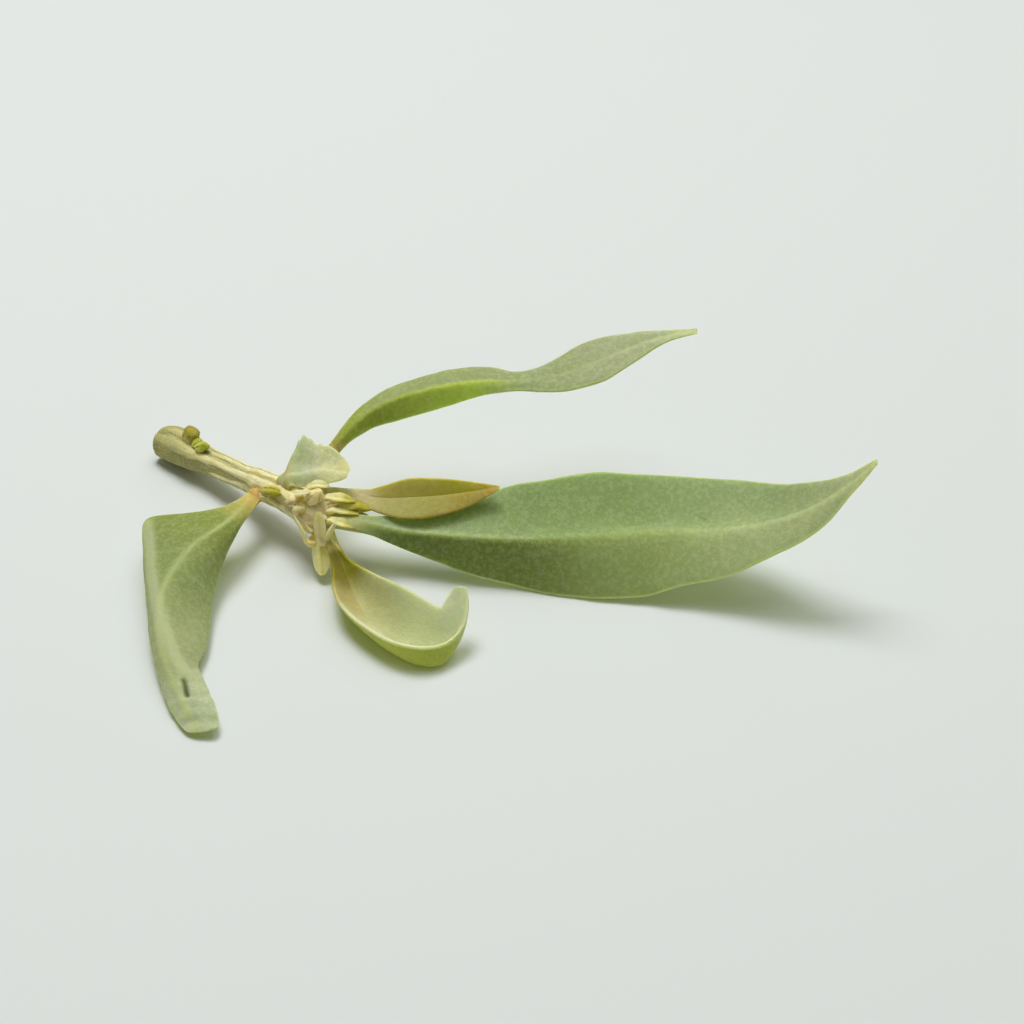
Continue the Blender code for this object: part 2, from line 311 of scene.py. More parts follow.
def raised(tree, height, depth, under=None):
    """Relief of one depth in millimetres, laid over other relief."""
    node = tree.nodes.new("ShaderNodeBump")
    node.inputs["Distance"].default_value = depth * MM
    wire(tree, height, node.inputs["Height"])
    if under is not None:
        tree.links.new(under, node.inputs["Normal"])
    return node.outputs["Normal"]


def new_skin(name):
    """A new material, its node tree and its shader."""
    skin = bpy.data.materials.new(name)
    skin.use_nodes = True
    return skin, skin.node_tree, skin.node_tree.nodes["Principled BSDF"]


def matt_surface(tree, colour, roughness, coarse, coarse_depth, fine, fine_depth):
    """Give a skin its colour, and a roughness and a relief that follow its coarse and fine grain."""
    surface = tree.nodes["Principled BSDF"].inputs
    least, swing = roughness
    wire(tree, colour, surface["Base Color"])
    wire(tree, maths(tree, "ADD", maths(tree, "MULTIPLY", fine, swing), least), surface["Roughness"])
    wire(tree, raised(tree, fine, fine_depth, raised(tree, coarse, coarse_depth)), surface["Normal"])


def soft_inside(shader, shine, amount, glow, depth):
    """Let light spread inside a skin to a depth, by a glow for red, green and blue."""
    shader.inputs["Specular IOR Level"].default_value = shine
    shader.inputs["Subsurface Weight"].default_value = amount
    shader.inputs["Subsurface Radius"].default_value = glow
    shader.inputs["Subsurface Scale"].default_value = depth * MM


STEM_LENGTH = route_length(STEM_ROUTE)
stem_radii = [(route_length(STEM_ROUTE[:count + 1]) / STEM_LENGTH, STEM_ROUTE[count][3])
              for count in range(len(STEM_ROUTE))]
knob_end = KNOB_ROUNDING * STEM_ROUTE[0][3] / STEM_LENGTH
dome_start = 1.0 - STEM_ROUTE[-1][3] / STEM_LENGTH

stem = sheet_of("stem_bark", STEM_STEPS, STEM_SIDES)
crests, alongs, cuts = [], [], []
for vertex in stem.data.vertices:
    row = round((vertex.co.x + 0.5) * STEM_STEPS)
    turn = (vertex.co.y + 0.5) * math.tau - math.pi / 2.0
    share, sunk, cut = 1.0, 0.0, 0.0
    if row < CUT_ROWS:
        # the cut face, then its rounded rim
        rounding = max(0.0, row / CUT_ROWS * 2.0 - 1.0) * math.pi / 2.0
        flat = min(1.0, row / CUT_ROWS * 2.0)
        share = (1.0 - KNOB_ROUNDING) * flat + KNOB_ROUNDING * math.sin(rounding)
        along = knob_end * (1.0 - math.cos(rounding))
        rough = noise.noise(Vector((share * 4.0 * math.cos(turn), share * 4.0 * math.sin(turn), 3.0)))
        sunk = HOLLOW_DEPTH * math.exp(-(share / HOLLOW_SHARE) ** 2) + CUT_ROUGHNESS * rough * (1.0 - share)
        cut = 1.0 - min(1.0, max(0.0, share - CUT_HEART) / CUT_RIM)
    elif row > STEM_STEPS - TIP_ROWS:
        # the closed tip, hidden in the crown
        closing = (row - STEM_STEPS + TIP_ROWS) / TIP_ROWS * math.pi / 2.0
        share = math.cos(closing)
        along = dome_start + (1.0 - dome_start) * math.sin(closing)
    else:
        along = knob_end + (dome_start - knob_end) * (row - CUT_ROWS) / (STEM_STEPS - TIP_ROWS - CUT_ROWS)
    radius = between(stem_radii, along)[0]
    # the ridges fade towards the knob and the crown
    plain = min(1.0, 0.25 + along / 0.22) * min(1.0, 0.4 + (1.0 - along) / 0.2)
    crest, rise = 0.0, 0.0
    for number, (direction, half_width, height, begins) in enumerate(RIDGES):
        wander = RIDGE_WANDER * noise.noise(Vector((along * 4.0, number * 3.7, 1.0)))
        strength = 1.0 + 0.5 * noise.noise(Vector((along * 6.0, number * 2.3, 5.0)))
        strength *= min(1.0, max(0.0, (along - begins) / 0.1))
        ridge = strength * math.exp(-(degrees_apart(turn, direction + wander) / half_width) ** 2)
        crest = max(crest, ridge)
        rise = max(rise, ridge * height)
    fibre = noise.noise(Vector((along * 14.0, 5.0 * radius * math.cos(turn), 5.0 * radius * math.sin(turn))))
    lumps = noise.noise(Vector((along * 26.0 + 9.0, 1.3 * math.cos(turn), 1.3 * math.sin(turn))))
    radius += (rise - BETWEEN_RIDGES) * plain + FIBRE_DEPTH * fibre + LUMP_HEIGHT * lumps
    for place, direction, height, spread, half_angle in CUSHIONS:
        apart = degrees_apart(turn, direction) / half_angle
        radius += height * math.exp(-((along - place) / spread) ** 2 - apart ** 2)
    vertex.co.x = (along * STEM_LENGTH + sunk) * MM
    vertex.co.y = radius * share * math.cos(turn) * MM
    vertex.co.z = radius * share * math.sin(turn) * MM
    crests.append(min(1.0, max(0.0, crest * plain + 0.45 * (1.0 - plain) + 0.5 * fibre)))
    alongs.append(along)
    cuts.append(cut)
mark(stem, crest=crests, along=alongs, cut=cuts)
bend_along(stem, STEM_ROUTE)
close_seams(stem)

BARK_TURN = (0.0, 0.0, 44.5)
FIBRE_STRETCH = (0.12, 1.0, 1.0)

bark, tree, shader = new_skin("straw_bark")
fibres = grain(tree, places_on(tree, BARK_TURN, FIBRE_STRETCH), 0.22, 4.0, 0.6)
patches = grain(tree, places_on(tree), 1.6, 3.0)
specks = grain(tree, places_on(tree), 0.16, 3.0, 0.6)
# Both ramps darken at the very end, inside the crown, as painted shade in the gaps between its scales.
grooves = along_ramp(tree, [
    (0.00, (0.33, 0.31, 0.09)),
    (0.30, (0.38, 0.36, 0.12)),
    (0.62, (0.46, 0.40, 0.12)),
    (0.80, (0.76, 0.64, 0.28)),
    (0.93, (0.78, 0.66, 0.33)),
    (1.00, (0.64, 0.52, 0.26)),
])
ridges = along_ramp(tree, [
    (0.00, (0.50, 0.48, 0.17)),
    (0.14, (0.60, 0.56, 0.23)),
    (0.24, (0.80, 0.74, 0.34)),
    (0.50, (0.92, 0.86, 0.50)),
    (0.75, (0.92, 0.84, 0.46)),
    (0.93, (0.93, 0.83, 0.48)),
    (1.00, (0.90, 0.79, 0.45)),
])
colour = mixed(tree, step_up(tree, stored(tree, "crest"), 0.20, 0.85), grooves, ridges)
colour = mixed(tree, step_up(tree, patches, 0.48, 0.66, 0.35), colour, (0.62, 0.58, 0.20))
colour = mixed(tree, step_up(tree, fibres, 0.54, 0.72, 0.35), colour, (0.38, 0.31, 0.10))
colour = mixed(tree, step_up(tree, specks, 0.52, 0.66, 0.40), colour, (0.90, 0.87, 0.60))
colour = mixed(tree, step_up(tree, stored(tree, "cut"), 0.1, 0.8), colour, (0.58, 0.50, 0.24))
colour = mixed(tree, step_up(tree, stored(tree, "cut"), 0.85, 1.0, 0.8), colour, (0.26, 0.18, 0.06))
matt_surface(tree, colour, (0.60, 0.25), fibres, 0.06, specks, 0.03)
soft_inside(shader, 0.25, 0.35, (1.0, 0.75, 0.25), 0.5)
stem.data.materials.append(bark)
finish_piece(stem, "straw_bark", "main_stem")

# LEAVES
# A leaf of this shrub is a soft blade under a mealy scurf of tiny scales, keeled along its midrib and
# thinner at its margins. Each is one sheet, shaped across its midrib, bent along it, and given thickness.
BLADE_THICKNESS = 0.5
RIB_THICKNESS = 0.85
MARGIN_THICKNESS = 0.22
STALK_THICKNESS = 1.25
STALK_SHARE = 0.12
RIB_SPREAD = 0.45
MARGIN_TAPER = 0.7
OUTLINE_WAVER = 0.035
VEIN_SPACING = 4.2
VEIN_SLANT = 0.85
VEIN_WIDTH = 0.20
MARGIN_LINE = 0.20
FOLD_TINT = (0.55, 0.59, 0.33)
LIGHT_THROUGH = (0.92, 1.0, 0.02)
THINNESS = 0.33


def leaf_sheet(name, route, stations, steps, root, seed, ripple=0.16, soft_keel=0.10, twist="Z_UP"):
    """A leaf's blade as a sheet that follows its midrib.

    route: points of the midrib from the stalk to the tip. root: where the stalk starts inside the stem.
    stations: (place along, left width, right width, left rise, right rise), with the rise of each half
    above the level in degrees, left as seen from the stem. ripple: waviness of the margins.
    """
    length = route_length(route)
    lead = (Vector(route[0]) - Vector(root)).length
    sheet = sheet_of(name, *steps)
    alongs, acrosses, widths = [], [], []
    for vertex in sheet.data.vertices:
        distance = (vertex.co.x + 0.5) * (length + lead) - lead
        along = min(1.0, max(0.0, distance / length))
        across = vertex.co.y * 2.0
        left, right, left_rise, right_rise = between(stations, along)
        width, rise = (left, left_rise) if across > 0.0 else (right, right_rise)
        width *= 1.0 + 0.5 * max(0.0, -distance / lead) ** 2
        side = math.copysign(1.0, across)
        outline = noise.noise(Vector((along * length * 0.22, side * 3.0, seed)))
        width *= 1.0 + OUTLINE_WAVER * outline
        reach = abs(across) * width
        drop = (math.hypot(across, soft_keel) - soft_keel) / (math.hypot(1.0, soft_keel) - soft_keel)
        wave = noise.noise(Vector((along * length * 0.20, side * 5.0 + 2.0, seed)))
        wave += 0.5 * noise.noise(Vector((along * length * 0.55, side * 5.0 + 7.0, seed)))
        lift = ripple * wave * min(1.0, width / 2.0) * abs(across) ** 3
        angle = math.radians(rise)
        vertex.co.x = (distance + lead) * MM
        vertex.co.y = side * (reach * math.cos(angle) - lift * math.sin(angle)) * MM
        vertex.co.z = (width * drop * math.sin(angle) + lift * math.cos(angle)) * MM
        alongs.append(along)
        acrosses.append(across)
        widths.append(width)
    mark(sheet, along=alongs, across=acrosses, width=widths)
    bend_along(sheet, [root] + route, twist)
    return sheet


def leaf_net(name, rows, belly):
    """A leaf's blade as a coarse net of rows, smoothed, for a leaf bent too much for one route.

    rows: (left margin, midrib, right margin) from inside the stem to the tip. belly: how far the
    middle of each half bows outwards, as a share of the depth.
    """
    sheet = sheet_of(name, len(rows) - 1, 4)
    alongs, acrosses, widths = [], [], []
    for vertex in sheet.data.vertices:
        row = round((vertex.co.x + 0.5) * (len(rows) - 1))
        column = round((vertex.co.y + 0.5) * 4)
        left, rib, right = (Vector(point) for point in rows[row])
        bow = belly * (rib - (left + right) / 2.0)
        across = [right, (rib + right) / 2.0 + bow, rib, (left + rib) / 2.0 + bow, left]
        alongs.append(max(0.0, (row - 1) / (len(rows) - 2)))
        acrosses.append(column / 2.0 - 1.0)
        widths.append((left - rib).length if column > 2 else (rib - right).length)
        vertex.co = metres(across[column])
    mark(sheet, along=alongs, across=acrosses, width=widths)
    smooth = sheet.modifiers.new("smooth net", "SUBSURF")
    smooth.levels = 3
    smooth.render_levels = 3
    apply_modifiers(sheet)
    return sheet


def pressed_by(place, lines):
    """How close a place is to the nearest line, 1 on it and 0 away from it, and how deep it presses there."""
    closest, pressed = 0.0, 0.0
    for start, end, half_width, depth in lines:
        start, line = Vector(start), Vector(end) - Vector(start)
        share = min(1.0, max(0.0, (place - start).dot(line) / line.length_squared))
        close = math.exp(-((place - start - line * share).length / half_width) ** 2)
        if close > closest:
            closest, pressed = close, depth * close
    return closest, pressed


def emboss(sheet, route, groove, seed, rib_width=0.30, drift=0.0, vein=0.035, pucker=0.05, crumple=0.0,
           creases=(), folds=()):
    """Press the midrib, the side veins, unevenness, creases and folds into a leaf's sheet.

    drift: how far the midrib strays to the right margin, as a share of that half. crumple: extra dents
    in the last part of the leaf. creases (dark) and folds (pale): (start, end, half width, depth).
    """
    length = route_length(route)
    halves, veins, creased, folded = [], [], [], []
    alongs, acrosses, widths = marked(sheet, "along", "across", "width")
    normals = [vertex.normal.copy() for vertex in sheet.data.vertices]
    for index, vertex in enumerate(sheet.data.vertices):
        along, across, width = alongs[index], acrosses[index], widths[index]
        half = across + drift * min(1.0, max(0.0, along - 0.12) / 0.55)
        off_rib = abs(half) * width
        place = vertex.co / MM - SPRIG_PLACE
        fade = min(1.0, along / 0.3) * min(1.0, (1.0 - along) / 0.15)
        rib = math.exp(-(off_rib / rib_width) ** 2)
        shift = 0.5 if half > 0.0 else 0.0
        wobble = 0.35 * noise.noise(Vector((along * length * 0.5, half * 3.0, seed + 4.0)))
        phase = ((along * length - VEIN_SLANT * off_rib) / VEIN_SPACING + shift + wobble / VEIN_SPACING) % 1.0
        side_vein = math.exp(-((phase - 0.5) * VEIN_SPACING / VEIN_WIDTH) ** 2)
        side_vein *= fade * min(1.0, off_rib / 0.5) * max(0.0, 1.0 - abs(across) ** 4)
        dents = noise.noise(place * 0.45 + Vector((seed, 0.0, 0.0)))
        dents += 0.45 * noise.noise(place * 1.3 + Vector((0.0, seed, 0.0)))
        depth = groove * rib * fade + vein * side_vein - pucker * dents * min(1.0, width / 2.0)
        depth -= crumple * max(0.0, along - 0.75) / 0.25 * noise.noise(place * 0.8 + Vector((seed, 3.0, 0.0)))
        crease, dip = pressed_by(place, creases)
        fold, rise = pressed_by(place, folds)
        vertex.co -= normals[index] * (depth + dip + rise) * MM
        halves.append(half)
        veins.append(max(rib, 0.35 * side_vein))
        creased.append(crease)
        folded.append(fold)
    mark(sheet, half=halves, vein=veins, crease=creased, fold=folded)


def thicken(sheet, blade=BLADE_THICKNESS, stalk=STALK_THICKNESS, rib=RIB_THICKNESS, margin=MARGIN_THICKNESS):
    """Give a leaf's sheet its thickness: most in the stalk and the midrib, least at the margins."""
    alongs, acrosses, widths = marked(sheet, "along", "across", "width")
    group = sheet.vertex_groups.new(name="thickness")
    for index in range(len(sheet.data.vertices)):
        along, off_rib = alongs[index], abs(acrosses[index]) * widths[index]
        off_margin = widths[index] - off_rib
        leafy = min(1.0, along / STALK_SHARE)
        thick = blade + (rib * (1.0 - 0.6 * along) - blade) * math.exp(-(off_rib / RIB_SPREAD) ** 2)
        thick = margin + (max(thick, margin) - margin) * min(1.0, off_margin / MARGIN_TAPER) ** 0.5
        thick = stalk + (thick - stalk) * leafy * leafy * (3.0 - 2.0 * leafy)
        if along > 0.9:
            thick *= 1.0 - 0.5 * (along - 0.9) / 0.1
        group.add([index], thick / STALK_THICKNESS, "REPLACE")
    wall = sheet.modifiers.new("thickness", "SOLIDIFY")
    wall.thickness = STALK_THICKNESS * MM
    wall.offset = 0.0
    wall.vertex_group = "thickness"
    wall.material_offset = 1
    smooth = sheet.modifiers.new("smooth", "SUBSURF")
    smooth.levels = 1
    smooth.render_levels = 1
    apply_modifiers(sheet)


def leaf_skin(name, left_half, right_half=None, scurf=(0.66, 0.76, 0.44), scurf_amount=0.30, bare_stalk=0.12,
              pits=(0.18, 0.28, 0.06), pits_amount=0.12, margin=(0.66, 0.72, 0.34), margin_amount=0.5,
              margin_left=0.5, margin_from=0.0, margin_to=1.2, rib=(0.50, 0.58, 0.24), rib_amount=0.25,
              crease=(0.10, 0.12, 0.02), glow=(0.75, 0.95, 0.15)):
    """A leaf's skin: green from stalk to tip on each side of the midrib, under a speckled mealy scurf.

    left_half, right_half: colours along the leaf, (place along, colour); on the large and cupped leaves the
    right half holds painted shade, on the arching leaf the painted glow of light through it. bare_stalk:
    where
    the scurf is full. margin_left: how much of the margin line shows on the left side; on the large and
    cupped leaves this line is a painted highlight. margin_from, margin_to: where it begins and ends. glow:
    how far red, green and blue light spread. The rest are tints and their strengths; the crease tint is
    painted shade where it marks the drooping leaf's slot.
    """
    skin, tree, shader = new_skin(name)
    here = places_on(tree)
    clouds = grain(tree, here, 2.6, 3.0, 0.55)
    clumps = grain(tree, here, 0.48, 2.0, 0.6)
    grains = grain(tree, here, 0.17, 2.0, 0.6)
    across = stored(tree, "across")
    along = stored(tree, "along")
    width = stored(tree, "width")
    off_margin = maths(tree, "MULTIPLY", maths(tree, "SUBTRACT", 1.0, maths(tree, "ABSOLUTE", across)), width)
    colour = along_ramp(tree, left_half)
    # the right half's own colours: painted shade on some leaves, a painted glow on the arching leaf
    if right_half:
        colour = mixed(tree, step_up(tree, stored(tree, "half"), 0.06, -0.10), colour,
                       along_ramp(tree, right_half))
    worn = maths(tree, "ADD", maths(tree, "MULTIPLY", clouds, 0.5), maths(tree, "MULTIPLY", clumps, 0.5))
    colour = mixed(tree, step_up(tree, worn, 0.56, 0.42, pits_amount), colour, pits)
    mealy = maths(tree, "ADD", step_up(tree, clumps, 0.42, 0.66, 0.60),
                  step_up(tree, grains, 0.46, 0.64, 0.40))
    mealy = maths(tree, "MULTIPLY", mealy, step_up(tree, along, 0.0, bare_stalk, scurf_amount))
    colour = mixed(tree, mealy, colour, scurf)
    veined = maths(tree, "MULTIPLY", stored(tree, "vein"), step_up(tree, along, 0.04, 0.18, rib_amount))
    colour = mixed(tree, veined, colour, rib)
    # a line along the margin in its own tint: the leaf's own edge colour, and on the large and cupped leaves
    # a painted highlight
    line = step_up(tree, off_margin, MARGIN_LINE * 1.5, MARGIN_LINE * 0.4, margin_amount)
    line = maths(tree, "MULTIPLY", line, step_up(tree, width, 0.5, 1.2))
    line = maths(tree, "MULTIPLY", line, step_up(tree, along, margin_from - 0.1, margin_from + 0.1))
    line = maths(tree, "MULTIPLY", line, step_up(tree, along, margin_to + 0.1, margin_to - 0.1))
    sides = maths(tree, "ADD", step_up(tree, across, 0.3, -0.3, 1.0 - margin_left), margin_left)
    colour = mixed(tree, maths(tree, "MULTIPLY", line, sides), colour, margin)
    colour = mixed(tree, step_up(tree, stored(tree, "fold"), 0.15, 0.9, 0.75), colour, FOLD_TINT)
    # dark creases are real marks, and on the drooping leaf's tip painted shade in a fold
    colour = mixed(tree, step_up(tree, stored(tree, "crease"), 0.25, 0.9, 0.85), colour, crease)
    matt_surface(tree, colour, (0.58, 0.30), clumps, 0.06, grains, 0.05)
    soft_inside(shader, 0.18, 1.0, glow, 0.8)
    shader.inputs["Sheen Weight"].default_value = 0.05
    shader.inputs["Sheen Roughness"].default_value = 0.5
    # a thin blade lets some light through, so its shadow is green
    rays = tree.nodes.new("ShaderNodeLightPath")
    through = tree.nodes.new("ShaderNodeBsdfTransparent")
    wire(tree, LIGHT_THROUGH, through.inputs["Color"])
    blend = tree.nodes.new("ShaderNodeMixShader")
    wire(tree, maths(tree, "MULTIPLY", rays.outputs["Is Shadow Ray"], THINNESS), blend.inputs[0])
    tree.links.new(shader.outputs[0], blend.inputs[1])
    tree.links.new(through.outputs[0], blend.inputs[2])
    tree.links.new(blend.outputs[0], tree.nodes["Material Output"].inputs["Surface"])
    return skin


# LARGE LEAF
# The largest leaf grows straight on from the twig's tip: keeled steeply along its base half, so that
# its near half hangs down to the table, then flattening out, with its tip lifted clear. The near half
# is painted a darker green towards the base as painted shade, and the pale line along its near margin
# is a painted highlight.
LARGE_LEAF_ROUTE = [
    (-16.7, -8.1, 5.25),
    (-10.9, -9.2, 4.7),
    (-5.0, -10.4, 4.9),
    (0.8, -10.8, 4.9),
    (8.5, -10.9, 5.6),
    (14.3, -10.5, 5.9),
    (20.8, -11.5, 6.9),
    (27.4, -13.4, 10.4),
    (31.9, -13.9, 14.2),
    (34.3, -14.0, 17.0),
]
large_leaf = leaf_sheet("large_leaf_blade", LARGE_LEAF_ROUTE, [
    (0.00, 0.70, 0.70, 10, -20),
    (0.06, 1.20, 0.80, 20, -40),
    (0.12, 2.20, 1.70, 22, -70),
    (0.22, 4.50, 3.60, 24, -78),
    (0.33, 6.10, 5.00, 30, -70),
    (0.46, 6.60, 6.20, 30, -58),
    (0.58, 5.90, 5.80, 28, -45),
    (0.69, 5.40, 4.60, 25, -36),
    (0.83, 3.10, 2.80, 30, -35),
    (0.93, 1.20, 1.00, 25, -30),
    (0.98, 0.55, 0.50, 20, -20),
    (1.00, 0.32, 0.32, 10, -10),
], (170, 44), root=(-18.3, -7.6, 5.2), soft_keel=0.32, seed=1.0)
emboss(large_leaf, LARGE_LEAF_ROUTE, groove=0.05,
       creases=[((17.8, -9.3, 6.9), (18.6, -9.8, 6.8), 0.35, 0.05)], seed=1.0)
large_leaf.data.materials.append(leaf_skin("mealy_upper", [
    (0.00, (0.60, 0.60, 0.28)),
    (0.08, (0.37, 0.46, 0.22)),
    (0.45, (0.31, 0.42, 0.145)),
    (0.75, (0.39, 0.48, 0.22)),
    (1.00, (0.54, 0.55, 0.32)),
], [
    # the near half: painted shade, darker towards the base
    (0.00, (0.60, 0.60, 0.28)),
    (0.08, (0.25, 0.31, 0.08)),
    (0.30, (0.24, 0.29, 0.06)),
    (0.50, (0.40, 0.48, 0.16)),
    (0.75, (0.48, 0.54, 0.26)),
    (1.00, (0.54, 0.55, 0.32)),
# the pale line on the near margin is a painted highlight
], rib_amount=0.10, margin_left=0.3, margin_amount=0.7, margin_from=0.2, crease=(0.20, 0.28, 0.08)))
large_leaf.data.materials.append(leaf_skin("mealy_under", [
    (0.00, (0.46, 0.45, 0.17)),
    (0.10, (0.34, 0.43, 0.15)),
    (1.00, (0.38, 0.47, 0.18)),
]))
thicken(large_leaf)
finish_piece(large_leaf, "mealy_leaf", "large_leaf")

# DROOPING LEAF
# A mature leaf from the twig's middle node, limp: its blade bends down over a shoulder, nearly to the
# table, a pale fold runs inside its outer margin, and its tip is crumpled, with a slot pressed into it
# and painted dark as shade.
DROOPING_ROWS = [
    # (left margin, midrib, right margin), from inside the stem to the tip
    ((-24.0, -1.9, 3.9), (-24.2, -1.6, 4.0), (-24.6, -1.3, 4.0)),
    ((-24.8, -3.3, 4.2), (-25.1, -2.8, 4.3), (-25.4, -2.3, 4.3)),
    ((-25.3, -5.6, 4.6), (-26.0, -5.2, 4.9), (-26.5, -4.3, 4.8)),
    ((-26.3, -7.8, 4.7), (-27.0, -8.0, 5.3), (-28.9, -6.1, 5.0)),
    ((-27.0, -9.5, 4.2), (-28.2, -10.0, 5.3), (-32.5, -6.6, 4.8)),
    ((-27.6, -10.7, 3.6), (-29.3, -11.5, 5.2), (-36.1, -6.2, 4.4)),
    ((-28.0, -12.1, 3.1), (-30.3, -13.0, 5.0), (-36.1, -8.0, 3.8)),
    ((-28.4, -13.7, 2.6), (-31.3, -14.7, 4.7), (-35.8, -10.4, 3.3)),
    ((-28.6, -15.3, 2.2), (-32.1, -16.5, 4.4), (-35.6, -12.9, 2.8)),
    ((-28.8, -17.2, 1.8), (-32.7, -18.5, 4.1), (-35.1, -15.9, 2.4)),
    ((-28.8, -19.2, 1.4), (-32.8, -20.7, 3.8), (-34.7, -18.8, 2.1)),
    ((-28.8, -21.4, 1.2), (-32.5, -23.0, 3.5), (-34.4, -21.4, 1.8)),
    ((-29.1, -23.5, 1.1), (-32.0, -25.4, 3.2), (-33.8, -24.3, 1.5)),
    ((-29.9, -25.2, 1.3), (-31.2, -27.7, 2.8), (-33.1, -26.8, 1.2)),
    ((-28.6, -27.9, 1.6), (-30.4, -29.9, 2.4), (-32.4, -29.3, 0.9)),
    ((-27.8, -30.5, 1.8), (-29.4, -31.7, 1.9), (-31.5, -31.4, 0.6)),
    ((-27.0, -32.6, 1.5), (-28.7, -32.9, 1.3), (-30.6, -32.8, 0.4)),
    ((-27.1, -33.8, 0.9), (-28.6, -34.0, 0.7), (-29.9, -33.8, 0.4)),
]
DROOPING_FOLD = [
    (-35.5, -7.6, 4.1),
    (-35.1, -10.3, 3.9),
    (-34.6, -14.4, 3.5),
    (-33.8, -19.0, 3.6),
    (-32.9, -22.5, 3.5),
    (-31.6, -25.7, 3.1),
    (-30.4, -27.6, 2.6),
]
drooping_leaf = leaf_net("drooping_leaf_blade", DROOPING_ROWS, belly=0.12)
# the crease at the tip is a pressed slot, painted dark as shade in the fold
emboss(drooping_leaf, [row[1] for row in DROOPING_ROWS], groove=-0.08, rib_width=0.40, drift=0.38,
       crumple=0.55, creases=[((-30.5, -28.7, 2.6), (-30.2, -30.3, 2.2), 0.52, 0.35)],
       folds=[(start, end, 0.80, -0.12) for start, end in zip(DROOPING_FOLD, DROOPING_FOLD[1:])], seed=2.0)
drooping_leaf.data.materials.append(leaf_skin("drooping_upper", [
    (0.00, (0.66, 0.34, 0.08)),
    (0.05, (0.66, 0.50, 0.13)),
    (0.10, (0.44, 0.41, 0.09)),
    (0.15, (0.26, 0.31, 0.055)),
    (0.40, (0.28, 0.335, 0.11)),
    (0.70, (0.41, 0.45, 0.21)),
    (0.85, (0.54, 0.58, 0.37)),
    (1.00, (0.58, 0.61, 0.43)),
], scurf_amount=0.22, margin_left=0.3, rib=(0.54, 0.60, 0.27), rib_amount=0.70, crease=(0.09, 0.14, 0.03)))
drooping_leaf.data.materials.append(leaf_skin("drooping_under", [
    (0.00, (0.56, 0.34, 0.12)),
    (0.10, (0.34, 0.38, 0.12)),
    (1.00, (0.42, 0.49, 0.22)),
]))
thicken(drooping_leaf, stalk=1.1)
finish_piece(drooping_leaf, "mealy_leaf", "drooping_leaf")

# ARCHING LEAF
# A narrow younger leaf from behind the crown, brighter green: it rises in an arch on its edge, turns
# over at a narrow waist, and spreads flat before its blunt tip. The half that hangs towards the front
# is painted a brighter, more saturated yellow-green, as the painted glow of light through it in shade.
ARCHING_LEAF_ROUTE = [
    (-19.3, -3.6, 6.7),
    (-19.0, -2.0, 7.0),
    (-17.7, -0.2, 7.9),
    (-15.8, 1.2, 9.7),
    (-12.9, 2.6, 11.3),
    (-8.1, 2.9, 13.1),
    (-3.1, 3.0, 14.0),
    (0.4, 2.6, 14.3),
    (4.7, 2.6, 15.0),
    (10.6, 4.8, 16.2),
    (14.5, 5.8, 17.2),
    (18.2, 5.8, 18.0),
]
arching_leaf = leaf_sheet("arching_leaf_blade", ARCHING_LEAF_ROUTE, [
    (0.00, 0.60, 0.60, 0, -10),
    (0.12, 0.70, 0.80, 0, -40),
    (0.19, 1.20, 1.50, 0, -70),
    (0.27, 2.00, 2.30, 0, -78),
    (0.39, 2.40, 2.30, 0, -78),
    (0.50, 2.20, 1.40, 0, -60),
    (0.57, 1.60, 1.20, -5, -20),
    (0.68, 2.80, 2.60, 0, -4),
    (0.76, 3.00, 2.80, 4, -4),
    (0.85, 2.00, 1.80, 8, -8),
    (0.93, 0.80, 0.80, 8, -8),
    (0.98, 0.50, 0.50, 0, 0),
    (1.00, 0.42, 0.42, 0, 0),
], (150, 28), root=(-19.6, -5.2, 5.9), ripple=0.10, soft_keel=0.18, seed=3.0)
emboss(arching_leaf, ARCHING_LEAF_ROUTE, groove=0.05, vein=0.02,
       creases=[((18.1, 5.9, 18.2), (18.3, 5.8, 18.2), 0.30, 0.0)], seed=3.0)
arching_leaf.data.materials.append(leaf_skin("arching_upper_painted_glow", [
    (0.00, (0.54, 0.36, 0.12)),
    (0.09, (0.44, 0.34, 0.07)),
    (0.16, (0.36, 0.41, 0.04)),
    (0.26, (0.33, 0.38, 0.13)),
    (0.60, (0.34, 0.38, 0.18)),
    (1.00, (0.50, 0.51, 0.34)),
], [
    # the half that hangs towards the front: the painted glow of light through the blade in shade
    (0.00, (0.54, 0.36, 0.12)),
    (0.09, (0.44, 0.34, 0.07)),
    (0.16, (0.40, 0.46, 0.04)),
    (0.45, (0.66, 0.76, 0.12)),
    (0.60, (0.34, 0.38, 0.18)),
    (1.00, (0.50, 0.51, 0.34)),
], rib_amount=0.15, margin_amount=0.35, crease=(0.16, 0.14, 0.04)))
arching_leaf.data.materials.append(leaf_skin("bright_under", [
    (0.00, (0.40, 0.34, 0.09)),
    (0.10, (0.36, 0.44, 0.08)),
    (1.00, (0.38, 0.46, 0.14)),
]))
thicken(arching_leaf, rib=0.6)
finish_piece(arching_leaf, "bright_leaf", "arching_leaf")

# FOLDED YOUNG LEAF
# The youngest leaf, still half folded along its midrib and olive brown, with a reddish edge and a pale
# stalk. It lies against the base of the large leaf.
FOLDED_LEAF_ROUTE = [
    (-17.2, -5.2, 6.1),
    (-15.4, -5.2, 6.2),
    (-13.0, -5.8, 6.2),
    (-9.9, -6.1, 6.5),
    (-6.0, -6.5, 7.2),
    (-1.2, -7.2, 8.6),
]
folded_leaf = leaf_sheet("folded_leaf_blade", FOLDED_LEAF_ROUTE, [
    (0.00, 0.65, 0.65, 10, -10),
    (0.16, 0.70, 0.90, 40, -12),
    (0.28, 1.30, 1.90, 60, -10),
    (0.45, 2.00, 2.80, 67, -9),
    (0.69, 1.60, 2.30, 65, -14),
    (0.88, 0.80, 1.10, 50, -25),
    (1.00, 0.20, 0.20, 20, -20),
], (90, 28), root=(-19.9, -5.3, 6.4), ripple=0.08, soft_keel=0.2, seed=4.0)
emboss(folded_leaf, FOLDED_LEAF_ROUTE, groove=0.05, vein=0.02, pucker=0.03, seed=4.0)
